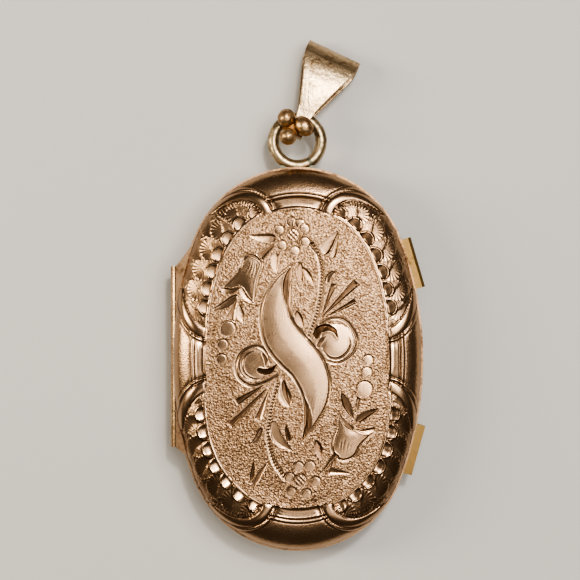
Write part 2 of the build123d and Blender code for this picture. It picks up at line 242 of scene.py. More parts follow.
def strike_border(sheet, x, y, field_rings, inside_gap):
    """Strikes a cover's border, the same in each quarter apart from a fuller lower half.

    Gives the points near the border, its plain panels, its quarter panels, and how far each point
    lies outside the ridge.
    """
    folded = Sheet(np.abs(x), np.abs(y))
    upper = sheet.true_y > 0
    # The plan distance outside the field's edge, less than 0 inside it.
    edge_x, edge_y = x[field_rings - 1], y[field_rings - 1]
    out = np.hypot(x - edge_x, y - edge_y)
    out[:field_rings] = -inside_gap
    out = out.ravel()
    near = out > -1.2

    # The ribbons part each quarter from the plain panels at the ends and the sides.
    ribbon_high = curve(
        (2.9, 14.2), (3.1, 14.75), (3.5, 15.35), (4.15, 15.8), (4.9, 16.05), (5.8, 16.05), (6.8, 15.75),
        (7.8, 15.2), (8.6, 14.6),
    )
    ribbon_side = curve(
        (8.7, 2.6), (9.3, 2.72), (9.9, 3.05), (10.6, 3.75), (11.15, 4.7), (11.5, 5.7), (11.65, 6.8)
    )
    whole_face = 40
    high, high_share = folded.signed(ribbon_high, whole_face, near)
    side, side_share = folded.signed(ribbon_side, whole_face, near)
    ends = high > 0
    sides = (side < 0) & (side > far_off)
    c = out + np.where(sides, 0.45, np.where(upper, 0.24, 0.55))
    plain = (ends | sides) & near & (c > 0)

    # The ridge that bounds the field in each quarter.
    ridge_high = curve(
        (8.9, 2.3), (8.78, 4.6), (8.38, 6.9), (7.68, 9.2), (6.65, 11.4), (4.9, 13.45), (3.0, 14.5),
        (2.0, 14.8),
    )
    ridge_low = curve(
        (9.05, 2.0), (9.12, 4.2), (8.96, 6.0), (8.5, 8.3), (7.4, 10.7), (5.3, 13.05), (3.0, 14.45),
        (2.0, 14.75),
    )
    half_faces = ((ridge_high, upper), (ridge_low, ~upper))
    beyond = np.full(out.size, far_off)
    for ridge, half in half_faces:
        offset, _ = folded.signed(ridge[::-1], 9, near & half)
        reached = offset > far_off
        beyond[reached] = offset[reached]
    quarter = near & ~ends & ~sides & (beyond > 0)

    # Plain panels: a two-step moulding, then the bare dome. c runs outwards from the moulding's foot.
    moulding = 0.07 * bump(c, 0.0, 0.09)
    moulding -= 0.06 * np.clip((c - 0.08) / 0.15, 0, 1) * np.clip((1.05 - c) / 0.55, 0, 1)
    moulding += 0.05 * bump(c, 1.02, 0.06)
    moulding -= 0.06 * bump(c, 1.13, 0.05)
    moulding += 0.05 * bump(c, 1.36, 0.12)
    moulding -= 0.05 * bump(c, 1.56, 0.05)
    sheet.height[plain] += moulding[plain]
    sheet.polish[plain] = np.where(c[plain] < 1.6, 1.0, 0.8)
    lines = 0.8 * bump(c, 1.13, 0.06) + 0.75 * bump(c, 1.57, 0.06) + 0.35 * bump(c, -0.02, 0.08)
    sheet.dirt[plain] = np.clip(lines + 0.16, 0, 1)[plain]

    # Quarter panels: matting, shells row over row, then scoops along the ridge. The quarter's colour is
    # darker, partly with dirt and partly with painted shade. The upper half's scoops are shallower, and
    # their floors are painted darker as shade.
    sheet.height[quarter] -= 0.02
    sheet.dirt[quarter] = 0.32
    sheet.polish[quarter] = 0.6
    shell_lean = radians(-62)
    shell_size = 1.22
    scoop_long, scoop_half_width, scoop_pitch = 0.80, 0.74, 1.74
    for ridge, half in half_faces:
        # Painted shade: the upper half's scoop floors and the lower half's shells are darkened.
        fall, scoop_painted_shade, shell_painted_shade = (0.20, 0.50, 0.0) if half is upper else (0.28, 0.0, 0.08)
        steps = np.hypot(*np.diff(ridge, axis=0).T)
        done = np.concatenate(([0], np.cumsum(steps)))

        def station(distance, offset):
            """A place beside the ridge, with the outward direction there."""
            distance = min(distance, done[-1] - 0.1)
            px, py = [np.interp(distance, done, line) for line in ridge.T]
            qx, qy = [np.interp(distance + 0.1, done, line) for line in ridge.T]
            size = hypot(qx - px, qy - py)
            nx, ny = (qy - py) / size, -(qx - px) / size
            return px + nx * offset, py + ny * offset, nx, ny

        area = quarter & half
        for offset, start, pitch, count in ((3.5, 2.9, 2.1, 7), (2.5, 1.8, 2.0, 7), (1.3, 2.5, 1.9, 7)):
            for place in range(count):
                px, py, nx, ny = station(start + place * pitch, offset)
                dx = nx * cos(shell_lean) - ny * sin(shell_lean)
                dy = nx * sin(shell_lean) + ny * cos(shell_lean)
                rx, ry = folded.x - px, folded.y - py
                r = np.hypot(rx, ry)
                ahead = rx * dx + ry * dy
                swing = np.arctan2(rx * -dy + ry * dx, ahead)
                reach = shell_size * (1 + 0.04 * np.abs(np.cos(swing * 10)))
                index = np.flatnonzero((r < reach) & area & (np.abs(swing) < 1.75))
                share = (r / reach)[index]
                flute = np.cos(swing[index] * 20) * np.clip(share * 2.4 - 0.7, 0, 1)
                rise = 0.09 * share**2.2 - 0.06 - 0.04 * np.clip((share - 0.94) / 0.06, 0, 1)
                sheet.height[index] = rise + 0.013 * flute
                # Painted shadow: each shell darkens towards its middle, where the one before it lies over
                # it, with painted shade in its flutes and along its edge.
                soil_and_shade = np.clip(1.9 - 1.9 * share, 0.0, 0.42) + 0.22 * np.clip(-flute, 0, 1)
                sheet.dirt[index] = soil_and_shade + 0.3 * (share > 0.97) + shell_painted_shade
                sheet.polish[index] = 0.75 + 0.25 * share
        for place in range(7):
            px, py, nx, ny = station(done[-1] - 2.15 - place * scoop_pitch, 0.14)
            rx, ry = folded.x - px, folded.y - py
            v = (rx * nx + ry * ny) / scoop_long
            u = (-rx * ny + ry * nx) / scoop_half_width
            rim = np.hypot(u, np.maximum(v, 0))
            cut = area & (rim < 1) & (v > 0)
            ramp = 1 - v[cut] / np.sqrt(np.clip(1 - u[cut] ** 2, 0.02, 1))
            bowl = np.clip(1 - rim[cut] ** 2, 0, 1) ** 0.6
            sheet.height[cut] = -fall * bowl * (0.25 + 0.75 * ramp)
            sheet.polish[cut] = 1
            # Painted shadow: a scoop darkens at its deep inner end.
            sheet.dirt[cut] = scoop_painted_shade + 0.5 * np.clip(ramp - 0.75, 0, 1)
            lip = area & (rim >= 1) & (rim < 1.28) & (v > 0)
            sheet.height[lip] = np.maximum(sheet.height[lip], 0.05 * bump(rim[lip], 1.06, 0.09))
            sheet.polish[lip] = 1
            # Painted shade: a dark ring outside the lip sets the scoop off.
            sheet.dirt[lip] = 0.1 + 0.8 * (rim[lip] > 1.17)
        teeth = area & (high > -1.0) & (high < -0.55)
        sheet.height[teeth] += 0.04 * np.cos(high_share[teeth] * 120)
    ridge_zone = near & ~ends & ~sides & (np.abs(beyond) < 0.4)
    sheet.height[ridge_zone] += 0.07 * bump(beyond[ridge_zone], 0.0, 0.17)
    top = ridge_zone & (np.abs(beyond) < 0.17)
    sheet.polish[top] = 1
    sheet.dirt[top] = 0
    foot = ridge_zone & (np.abs(beyond) >= 0.17)
    sheet.soil_and_shade(foot, 0.7 * bump(np.abs(beyond[foot]), 0.24, 0.06))

    # Ribbons: flat-crowned bands that spring from the notches and sweep out along the rim.
    for across, share, half_band in ((high, high_share, 0.46), (side, side_share, 0.50)):
        away = np.abs(across)
        slim = half_band * np.clip(1.1 - 0.45 * share, 0.35, 1)
        started = np.clip((np.minimum(out, 9) + 0.35) / 0.25, 0, 1)
        band = near & (away < slim) & (out > -0.35)
        crown = 1 - np.clip(away / slim, 0, 1) ** 2.4
        sheet.height[band] = (0.085 * crown * started)[band]
        sheet.polish[band] = 1
        # Painted shade: a band darkens towards its sides, where it turns away; the cut beside it and the
        # line outside it are dark with dirt and painted shade.
        sheet.dirt[band] = (0.22 + 0.25 * (1 - crown))[band]
        cut = near & (away >= slim) & (away < slim + 0.12) & (out > -0.2)
        sheet.height[cut] -= 0.04
        sheet.dirt[cut] = 0.75
        fade = np.clip(1.25 - 1.5 * share, 0, 1)
        thin = plain & (away >= slim + 0.16) & (away < slim + 0.42)
        sheet.height[thin] += (fade * 0.06 * bump(away, slim + 0.29, 0.09))[thin]
        edge = plain & (away >= slim + 0.40) & (away < slim + 0.56)
        sheet.soil_and_shade(edge, (0.8 * fade)[edge])
        sheet.height[edge] -= (0.04 * fade)[edge]
    return near, plain, quarter, beyond


def shell_mesh(name, outer, inner, sheet, facing):
    """Joins a cover's face to its plain lining, and closes both middles. facing is -1 for the back."""
    rings, around = outer[0].shape
    lining_rings = inner[0].shape[0]
    skin = np.stack(outer, -1).reshape(-1, 3)
    lining = np.stack(inner, -1).reshape(-1, 3)
    verts = np.vstack((skin, lining, [(0, 0, outer[2][0].mean()), (0, 0, inner[2][0].mean())])) * MM
    i = np.arange(around)
    j = (i + 1) % around
    faces = []
    for ring in range(rings - 1):
        a, b = ring * around, (ring + 1) * around
        faces.append(np.stack((a + i, b + i, b + j, a + j), 1))
    base = rings * around
    for ring in range(lining_rings - 1):
        a, b = base + ring * around, base + (ring + 1) * around
        faces.append(np.stack((a + j, b + j, b + i, a + i), 1))
    a, b = (rings - 1) * around, base + (lining_rings - 1) * around
    faces.append(np.stack((a + i, b + i, b + j, a + j), 1))
    crown = base + lining_rings * around
    caps = np.vstack((
        np.stack((np.full(around, crown), i, j), 1),
        np.stack((np.full(around, crown + 1), base + j, base + i), 1),
    ))
    polygons = [face[::facing] for face in np.vstack(faces).tolist() + caps.tolist()]
    mesh = bpy.data.meshes.new(name)
    mesh.from_pydata(verts.tolist(), [], polygons)
    for layer in face_layers:
        values = np.zeros(len(verts), np.float32)
        values[: skin.shape[0]] = getattr(sheet, layer)
        # The point that closes the middle takes what its neighbours have.
        values[-2] = values[0]
        mesh.attributes.new(layer, "FLOAT", "POINT").data.foreach_set("value", values)
    shell = bpy.data.objects.new(name, mesh)
    bpy.context.collection.objects.link(shell)
    return shell


def take_up(piece):
    """Selects one piece alone, for the operators that come next."""
    bpy.ops.object.select_all(action="DESELECT")
    bpy.context.view_layer.objects.active = piece
    piece.select_set(True)


class Socket:
    """A shader socket that arithmetic can be written on."""

    def __init__(self, tree, socket):
        self.tree = tree
        self.socket = socket

    def math(self, operation, first, second):
        return Nodes(self.tree).add("ShaderNodeMath", {"operation": operation}, {0: first, 1: second})

    def __add__(self, other):
        return self.math("ADD", self, other)

    def __sub__(self, other):
        return self.math("SUBTRACT", self, other)

    def __rsub__(self, other):
        return self.math("SUBTRACT", other, self)

    def __mul__(self, other):
        return self.math("MULTIPLY", self, other)

    __radd__ = __add__
    __rmul__ = __mul__


class Nodes:
    """Adds nodes to one material's tree."""

    def __init__(self, tree):
        self.tree = tree

    def add(self, kind, settings=None, sockets=None, out=0):
        node = self.tree.nodes.new(kind)
        for name, value in (settings or {}).items():
            if name == "stops":
                ramp = node.color_ramp
                while len(ramp.elements) < len(value):
                    ramp.elements.new(0.5)
                for element, (place, color) in zip(ramp.elements, value):
                    element.position = place
                    element.color = color
            else:
                setattr(node, name, value)
        for key, value in (sockets or {}).items():
            if isinstance(value, Socket):
                self.tree.links.new(value.socket, node.inputs[key])
            else:
                node.inputs[key].default_value = value
        return Socket(self.tree, node.outputs[out])

    def noise(self, scale, detail, stretch=(1, 1, 1)):
        """Noise over the object's own space, which may be stretched."""
        place = self.add("ShaderNodeTexCoord", out="Object")
        if stretch != (1, 1, 1):
            place = self.add("ShaderNodeMapping", {}, {"Vector": place, "Scale": stretch})
        return self.add("ShaderNodeTexNoise", {}, {"Vector": place, "Scale": scale, "Detail": detail}, "Fac")

    def blend(self, factor, low, high):
        """A colour between two, by a factor."""
        return self.add("ShaderNodeMix", {"data_type": "RGBA"}, {0: factor, 6: low, 7: high}, 2)

    def clamped(self, first, second):
        """Two values multiplied, and held between 0 and 1."""
        settings = {"operation": "MULTIPLY", "use_clamp": True}
        return self.add("ShaderNodeMath", settings, {0: first, 1: second})

    def bump(self, height, strength, distance):
        """A bumped normal from a height."""
        sizes = {"Height": height, "Strength": strength, "Distance": distance * MM}
        return self.add("ShaderNodeBump", {}, sizes)

    def finish(self, **links):
        """Joins finished sockets, or sets plain values, on the material's shader."""
        shader = self.tree.nodes["Principled BSDF"]
        for name, value in links.items():
            target = next(place for place in shader.inputs if place.name.lower() == name.replace("_", " "))
            if isinstance(value, Socket):
                self.tree.links.new(value.socket, target)
            else:
                target.default_value = value


def new_material(name):
    """A material and the nodes that it is made with."""
    material = bpy.data.materials.new(name)
    material.use_nodes = True
    return material, Nodes(material.node_tree)


def worked_gold(name, light, deep, soil_and_shade, matt_rough):
    """Gold on a cover: polished where it was cut or struck, stippled elsewhere, dark in its hollows."""
    material, nodes = new_material(name)
    polish, dirt, strokes, stroke_place = [
        nodes.add("ShaderNodeAttribute", {"attribute_name": layer}, out="Fac") for layer in face_layers
    ]
    place = nodes.add("ShaderNodeTexCoord", out="Object")
    punched = nodes.add("ShaderNodeTexVoronoi", {}, {"Vector": place, "Scale": 5600.0}, "Distance")
    tarnish = nodes.noise(260.0, 3.0)
    wear = nodes.noise(1300.0, 4.0)
    scratch = nodes.noise(3200.0, 2.0, (1.0, 0.12, 1.0))
    matt = 1 - polish
    gold = nodes.blend(tarnish, light, deep)
    gold = nodes.blend(matt * 0.35, gold, deep)
    # The dirt layer brings both dirt and painted shade into the colour here.
    shade = nodes.clamped(dirt, wear * 0.7 + 0.65)
    pit = nodes.clamped(matt, 0.75 - punched * 1.6)
    grit = nodes.noise(5000.0, 2.0)
    soft = nodes.noise(1700.0, 3.0)
    stops = [(0.46, (0, 0, 0, 1)), (0.60, (1, 1, 1, 1))]
    speck = nodes.add("ShaderNodeValToRGB", {"stops": stops}, {"Fac": grit * 0.8 + soft * 0.25})
    for darker in (matt * speck * 0.80, pit * 0.45):
        shade = shade.math("MAXIMUM", shade, darker)
    rough = 0.17 + matt * matt_rough + wear * 0.10 + dirt * 0.12 + strokes * 0.06
    lines = nodes.add("ShaderNodeMath", {"operation": "SINE"}, {0: stroke_place * 42.0 + wear * 5.0})
    height = (punched * 1.1 + grit * 0.9) * matt + lines * strokes * 0.07 + scratch * 0.10 + wear * 0.12
    nodes.finish(
        base_color=nodes.blend(shade, gold, soil_and_shade),
        metallic=1.0,
        roughness=rough,
        normal=nodes.bump(height, 0.5, 0.075),
    )
    return material


low, high = [np.array(corner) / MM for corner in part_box("back_cover")]
# Ovals: half the width, half the length and the radius of the ends.
cover_edge = (*((high - low)[:2] / 2), 10.82)
field_edge = (9.45, 15.1, 8.0)
lining_field = (9.25, 14.9, 7.8)
wall = 0.4
lining_edge = tuple(size - wall for size in cover_edge)
lining_rings = ((0.3, 0.7, 1), 5)
dome_height = 2.3
lining_height = dome_height - wall
around = 1000
border_rings = 60
# Few rings cross the plain panel, and many lie close together at its edge, where the relief begins.
shares = np.concatenate((np.linspace(0.12, 0.84, 6), np.linspace(0.86, 1, 20)))
field_rings = len(shares)
x, y, z = dome((shares, border_rings), field_edge, cover_edge, 0.0, dome_height, 0.0, around)
back_sheet = Sheet(x, y)
back_sheet.true_y = y.ravel()
n = outward(x, y, z)
inside_gap = edge_gap(x, y, n, shares)
near, plain, quarter, _ = strike_border(back_sheet, x, y, field_rings, inside_gap)
panel = ~(near & (plain | quarter))
back_sheet.polish[panel] = 1.0
back_sheet.soil_and_shade(panel, 0.12)
relief = back_sheet.height.reshape(x.shape)[..., None]
# The last rings stay plain, where the cover is soldered to its rim.
relief[-3:] = 0
surface = np.stack((x, y, z), -1) + n * relief
inner = dome(lining_rings, lining_field, lining_edge, 0.0, lining_height, 0.0, around)
back_surface = [surface[..., 0], surface[..., 1], np.maximum(high[2] - surface[..., 2], 0)]
back_lining = [inner[0], inner[1], high[2] - inner[2]]
back_cover = shell_mesh("back_cover_struck", back_surface, back_lining, back_sheet, -1)
take_up(back_cover)
crease = radians(55)
bpy.ops.object.shade_smooth_by_angle(angle=crease)
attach(back_cover, "back")
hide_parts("back_cover")
rose = (0.66, 0.45, 0.295, 1)
deep_rose = (0.40, 0.245, 0.14, 1)
# This brown is tarnish, and on the covers also the colour of the painted shade.
tarnish_and_shade_brown = (0.10, 0.052, 0.026, 1)
struck_gold = worked_gold("struck_rose_gold", rose, deep_rose, tarnish_and_shade_brown, matt_rough=0.14)
back_cover.data.materials.append(struck_gold)


# Rims and snap lip: two flat bands of plain gold, drawn as strip, bent to the oval and soldered inside
# the covers' edges. The lip is sprung under the back rim and holds the front half shut.
def drawn_gold(name, light, deep, soil_and_shade, rough, soiled, grain=(1.0, 1.0, 1.0)):
    """Plain gold with fine rubbing marks, softly uneven colour and a little soil in patches."""
    material, nodes = new_material(name)
    patches = nodes.noise(380.0, 3.0)
    fine = nodes.noise(2400.0, 4.0)
    rub = nodes.noise(6500.0, 2.0, grain)
    shade = nodes.clamped(patches + fine - (1.12 - soiled), 2.6)
    nodes.finish(
        base_color=nodes.blend(shade, nodes.blend(patches, light, deep), soil_and_shade),
        metallic=1.0,
        roughness=rough + fine * 0.14 + shade * 0.12,
        normal=nodes.bump(rub * 0.5 + fine * 0.5, 0.5, 0.03),
    )
    return material


def dress(material, *names):
    """Gives CAD pieces a material."""
    for name in names:
        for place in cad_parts[name].material_slots:
            place.material = material


yellow_rose = (0.70, 0.50, 0.30, 1)
deep_yellow = (0.54, 0.35, 0.17, 1)
worn_rose = (0.40, 0.26, 0.155, 1)
worn_deep = (0.27, 0.165, 0.095, 1)
along_band = (0.2, 0.2, 1.0)
rim_gold = drawn_gold("rim_gold", worn_rose, worn_deep, tarnish_and_shade_brown, 0.30, 0.10, along_band)
dress(rim_gold, "back_rim", "front_rim")
lip_gold = drawn_gold("snap_lip_gold", yellow_rose, deep_rose, tarnish_and_shade_brown, 0.26, 0.02, along_band)
dress(lip_gold, "snap_lip")


# Photo seats: a thin gold bezel in each half holds a flat clear lens over a plain mount of aged card.
# The card is cut to the oval and pressed in under the lens.
bezel_gold = drawn_gold("bezel_gold", yellow_rose, deep_yellow, tarnish_and_shade_brown, 0.20, 0.0, (0.25, 0.25, 1.0))
dress(bezel_gold, "back_photo_bezel", "front_photo_bezel")

aged_card, nodes = new_material("aged_card")
fibres = nodes.noise(3800.0, 5.0, (1.0, 0.35, 1.0))
stains = nodes.noise(190.0, 3.0)
spots = nodes.noise(900.0, 2.0)
foxing = nodes.clamped(spots * 1.3 + stains - 1.12, 3.0)
paper = nodes.blend(stains, (0.80, 0.72, 0.57, 1), (0.66, 0.55, 0.39, 1))
paper = nodes.blend(fibres * 0.3, paper, (0.52, 0.42, 0.29, 1))
nodes.finish(
    base_color=nodes.blend(foxing * 0.6, paper, (0.36, 0.22, 0.11, 1)),
    roughness=0.78 + fibres * 0.15,
    normal=nodes.bump(fibres + spots * 0.5, 0.5, 0.03),
)
dress(aged_card, "back_photo_card", "front_photo_card")

lens_sheet, nodes = new_material("clear_lens_sheet")
smears = nodes.noise(240.0, 3.0, (1.0, 0.4, 1.0))
hairlines = nodes.noise(5200.0, 2.0, (0.1, 1.0, 1.0))
glare = nodes.add("ShaderNodeFresnel", {}, {"IOR": 1.49})
nodes.finish(
    base_color=nodes.blend(smears, (0.96, 0.96, 0.94, 1), (0.86, 0.85, 0.80, 1)),
    metallic=1.0,
    roughness=0.03 + smears * 0.08,
    alpha=glare * 0.9 + smears * 0.05,
    normal=nodes.bump(hairlines, 0.12, 0.01),
)
dress(lens_sheet, "back_photo_lens", "front_photo_lens")


# Hinge: five knuckles of gold tube soldered in turn to the two rims, with a pin of harder wire pushed
# through all of them. The knuckles are burnished where they rub.
tube_light = (0.62, 0.44, 0.27, 1)
tube_deep = (0.36, 0.22, 0.12, 1)
hinge_gold = drawn_gold("hinge_gold", tube_light, tube_deep, tarnish_and_shade_brown, 0.20, 0.10, (1.0, 0.2, 1.0))
dress(
    hinge_gold,
    "back_knuckle_high",
    "back_knuckle_middle",
    "back_knuckle_low",
    "front_knuckle_high",
    "front_knuckle_low",
)
wire_light = (0.62, 0.58, 0.52, 1)
wire_deep = (0.44, 0.40, 0.35, 1)
pin_metal = drawn_gold("pin_metal", wire_light, wire_deep, tarnish_and_shade_brown, 0.30, 0.10, (1.0, 0.1, 1.0))
dress(pin_metal, "hinge_pin")


# Front cover: the same shell from the same die, slightly crowned, then chased by hand. Leaves, bells
# and scrolls are cut bright into a ground that was first stippled all over with a fine punch.
def thin_out(shell, most):
    """Merges needless faces until a shell has fewer triangles than the most it may have."""
    corners = sum(len(face.vertices) - 2 for face in shell.data.polygons)
    thin = shell.modifiers.new("thin", "DECIMATE")
    thin.ratio = most / corners
    take_up(shell)
    bpy.ops.object.modifier_apply(modifier="thin")
    bpy.ops.object.shade_smooth_by_angle(angle=crease)


def bow(start, end, bend, points=14):
    """A line from start to end that bows to its left by a distance."""
    (ax, ay), (bx, by) = start, end
    length = hypot(bx - ax, by - ay)
    nx, ny = -(by - ay) / length, (bx - ax) / length
    share = np.linspace(0, 1, points)
    swell = 4 * bend * share * (1 - share)
    return np.stack((ax + (bx - ax) * share + nx * swell, ay + (by - ay) * share + ny * swell), 1)


def oval_line(center, across, up, points=45):
    """An oval's outline, left open by a few degrees where its ends meet."""
    turn = np.radians(np.linspace(0, 352, points))
    return np.stack((center[0] + across * np.cos(turn), center[1] + up * np.sin(turn)), 1)


def groove(sheet, line, width, depth, tapered=True, burr=0.018, dirt=0.75):
    """A V-shaped cut along a line, with a bright burr thrown up on each side."""
    index, away, _, share = sheet.along(line, width)
    swell = np.sin(pi * np.clip(share, 0.02, 0.98)) ** 0.35 if tapered else np.ones(share.size)
    half = width / 2 * swell
    inside = np.clip(1 - away / half, 0, 1)
    sheet.height[index] -= depth * swell * inside
    sheet.height[index] += burr * swell * bump(away, half + 0.03, 0.07)
    sheet.shine(index, np.clip((half + 0.12 - away) / 0.06, 0, 1))
    sheet.dirt[index] = np.maximum(sheet.dirt[index] * (away > half + 0.1), dirt * inside**0.6)


def blade(sheet, line, width, depth, lean=1, fullness=0.6, dark=0.25):
    """A leaf cut with a flat graver: a floor that slopes down to one side, and a steep wall there."""
    index, away, side, share = sheet.along(line, width)
    half = width / 2 * np.sin(pi * np.clip(share, 0, 1) ** fullness) ** 0.75 + 0.01
    across = side * away / half * lean
    inside = away < half
    slope = np.where(across < 0.6, (across + 1) / 1.6, (1 - across) / 0.4)
    floor = np.clip(slope, 0, 1) * np.sqrt(half / (width / 2))
    sheet.height[index] = np.where(inside, sheet.height[index] - depth * floor, sheet.height[index])
    sheet.height[index] += 0.018 * bump(away, half + 0.03, 0.06)
    sheet.shine(index, np.clip((half + 0.08 - away) / 0.05, 0, 1))
    # Painted shade: the cut's floor is darkened by dark, and its steep wall more.
    wall = bump(across, 0.75, 0.25) * inside
    shade = np.clip(dark * inside + 0.55 * wall, 0, 1)
    sheet.dirt[index] = np.where(inside, shade, sheet.dirt[index])


def ray(sheet, start, end, width, depth, lean=1, dark=0.6):
    """A wedge-shaped cut that widens from a point and stops at a steep square end."""
    (ax, ay), (bx, by) = start, end
    length = hypot(bx - ax, by - ay)
    dx, dy = (bx - ax) / length, (by - ay) / length
    share = ((sheet.x - ax) * dx + (sheet.y - ay) * dy) / length
    offset = (sheet.y - ay) * dx - (sheet.x - ax) * dy
    half = width / 2 * (0.10 + 0.90 * np.clip(share, 0, 1))
    index = np.flatnonzero((share > -0.05) & (share < 1.15) & (np.abs(offset) < half + 0.25))
    share, offset, half = share[index], offset[index], half[index]
    across = offset / half * lean
    inside = (np.abs(across) < 1) & (share > 0) & (share < 1)
    slope = np.where(across < 0.35, (across + 1) / 1.35, (1 - across) / 0.65)
    floor = np.clip(slope, 0, 1) * (0.35 + 0.65 * share) * np.clip((1 - share) * length / 0.12, 0, 1)
    sheet.height[index] = np.where(inside, sheet.height[index] - depth * floor, sheet.height[index])
    edge = bump(np.abs(offset), half + 0.03, 0.05) * (share > 0) * (share < 1)
    stop = bump((share - 1) * length, 0.03, 0.06) * (np.abs(across) < 1.05)
    sheet.height[index] += 0.022 * np.maximum(edge, stop)
    sheet.shine(index, np.maximum(inside, np.maximum(edge, stop)))
    # Painted shade: the sloping floor takes the full dark, the steep side only a third of it.
    sheet.dirt[index] = np.where(inside, np.where(across < 0.35, dark, dark * 0.35), sheet.dirt[index])


def disc(sheet, center, radius, rim=0.035):
    """A round punch mark: a smooth floor inside a thin sunk ring, with the metal raised round it."""
    away = np.hypot(sheet.x - center[0], sheet.y - center[1])
    index = np.flatnonzero(away < radius + 0.35)
    away = away[index]
    inside = away < radius
    sheet.height[index] = np.where(inside, 0.008 * (1 - (away / radius) ** 2), sheet.height[index])
    ring = bump(away, radius, 0.055)
    sheet.height[index] += 0.02 * bump(away, radius + 0.14, 0.06) - rim * ring
    sheet.shine(index, np.clip((radius - away) / 0.05, 0, 1))
    sheet.dirt[index] = np.where(inside, 0.0, sheet.dirt[index])
    sheet.soil_and_shade(index, 0.7 * ring)


def raised(sheet, outline, rise, slope):
    """A smooth swelling inside a closed outline. Gives the points inside, and how far in they lie."""
    outline = np.asarray(outline, float)
    closed = np.vstack((outline, outline[:1]))
    index, away = sheet.along(closed, 9)[:2]
    px, py = sheet.x[index], sheet.y[index]
    inside = np.zeros(index.size, bool)
    for (ax, ay), (bx, by) in zip(closed[:-1], closed[1:]):
        crosses = (ay > py) != (by > py)
        inside ^= crosses & (px < (bx - ax) * (py - ay) / (by - ay + 1e-12) + ax)
    index, away = index[inside], away[inside]
    sheet.height[index] += rise * (1 - np.exp(-away / slope))
    sheet.shine(index, np.clip(away / 0.06, 0, 1))
    return index, away


def bell(sheet, outline, mouth, rise, lips, veins):
    """A swelling with a cut outline, curled lips at its mouth and fine veins up its throat."""
    raised(sheet, np.vstack((outline[:-1], mouth[:-1])), rise, 0.5)
    groove(sheet, outline, 0.24, 0.06)
    for start, end, bend, lean in lips:
        blade(sheet, bow(start, end, bend), 0.45, 0.07, lean=lean, dark=0.5)
    for start, end in veins:
        groove(sheet, bow(start, end, 0.1), 0.12, 0.02, burr=0, dirt=0.5)


low, high = [np.array(corner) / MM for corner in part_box("front_cover")]
crown = 0.25
around = 1250
field_rings = 150
border_rings = 90
shares = np.linspace(0, 1, field_rings + 1)[1:]
x, y, z = dome((shares, border_rings), field_edge, cover_edge, crown, high[2], low[2], around)
n = outward(x, y, z)
# The leaves were set out from above, so a point takes its place as it is seen from there.
parting = 3.4
eye_height = eye_z - parting
nearness = eye_height / (eye_height - (z - parting))
leaves = Sheet((x - eye_x) * nearness + eye_x, (y - eye_y) * nearness + eye_y)
leaves.true_y = y.ravel()
inside_gap = edge_gap(x, y, n, shares)
near, plain, quarter, beyond = strike_border(leaves, x, y, field_rings, inside_gap)

# The long leaf in the middle is smooth and shaped like an S, with fine lines drawn along it.
s_left = curve(
    (-0.6, 9.25), (-2.03, 8.0), (-3.2, 6.25), (-3.65, 4.45), (-3.5, 2.5), (-2.95, 1.0), (-1.65, -0.62),
    (-0.4, -1.87), (0.55, -3.62), (0.8, -5.56), (0.57, -8.4),
)
s_right = curve(
    (0.57, -8.4), (2.05, -6.15), (2.95, -4.45), (3.22, -2.8), (3.03, -1.32), (2.46, 0.07), (1.52, 1.28),
    (0.43, 2.51), (-0.46, 3.74), (-0.8, 4.85), (-0.8, 6.8), (-0.6, 9.25),
)
leaf, leaf_in = raised(leaves, np.vstack((s_left[:-1], s_right[:-1])), 0.14, 0.95)
leaves.strokes[leaf] = np.clip(leaf_in / 0.25, 0, 1)
from_left, _ = leaves.signed(s_left, 9)
leaves.stroke_place[leaf] = np.abs(from_left[leaf])
groove(leaves, s_left, 0.30, 0.075)
groove(leaves, s_right, 0.30, 0.075)
blade(leaves, curve((-0.68, 9.0), (-1.12, 7.5), (-1.12, 6.2), (-0.78, 4.7)), 0.62, 0.10, lean=-1, dark=0.7)
blade(leaves, curve((0.62, -8.2), (1.12, -6.8), (1.1, -5.4), (0.72, -3.9)), 0.62, 0.10, lean=1, dark=0.7)

# Two bells, one at each side, with wedge-shaped stalks.
bell(
    leaves,
    curve(
        (-7.6, 6.95), (-6.35, 8.1), (-5.72, 8.95), (-5.3, 10.0), (-4.75, 10.32), (-3.9, 9.95), (-3.53, 9.45),
        (-3.75, 8.6), (-4.08, 7.58), (-4.35, 5.53),
    ),
    curve((-4.35, 5.53), (-5.0, 6.4), (-5.65, 7.17), (-6.6, 7.0), (-7.6, 6.95)),
    0.05,
    (((-7.65, 6.95), (-5.68, 7.12), -0.28, 1), ((-5.6, 7.1), (-4.3, 5.5), -0.28, 1)),
    (
        ((-4.5, 9.75), (-5.1, 8.2)),
        ((-4.3, 9.65), (-4.75, 8.0)),
        ((-4.15, 9.5), (-4.4, 8.1)),
        ((-4.7, 9.7), (-5.45, 8.5)),
    ),
)
ray(leaves, (-2.05, 11.65), (-3.8, 10.1), 0.85, 0.10, lean=1, dark=0.75)
bell(
    leaves,
    curve(
        (4.2, -5.65), (4.0, -6.9), (3.6, -8.1), (3.5, -9.1), (4.1, -9.95), (4.8, -10.15), (5.7, -9.7),
        (6.3, -8.6), (7.75, -7.25),
    ),
    curve((7.75, -7.25), (6.7, -7.15), (5.62, -7.25), (5.0, -6.4), (4.2, -5.65)),
    0.09,
    (((5.65, -7.1), (4.25, -5.6), 0.25, 1), ((7.8, -7.0), (5.8, -7.1), 0.3, -1)),
    (
        ((4.9, -9.6), (5.2, -8.2)),
        ((4.6, -9.4), (4.8, -8.0)),
        ((5.2, -9.4), (5.65, -8.4)),
        ((4.35, -9.2), (4.45, -8.2)),
    ),
)
ray(leaves, (2.36, -11.6), (3.95, -9.55), 0.66, 0.10, lean=-1, dark=0.7)
ray(leaves, (5.25, -11.5), (3.2, -11.25), 0.7, 0.06, lean=1, dark=0.8)

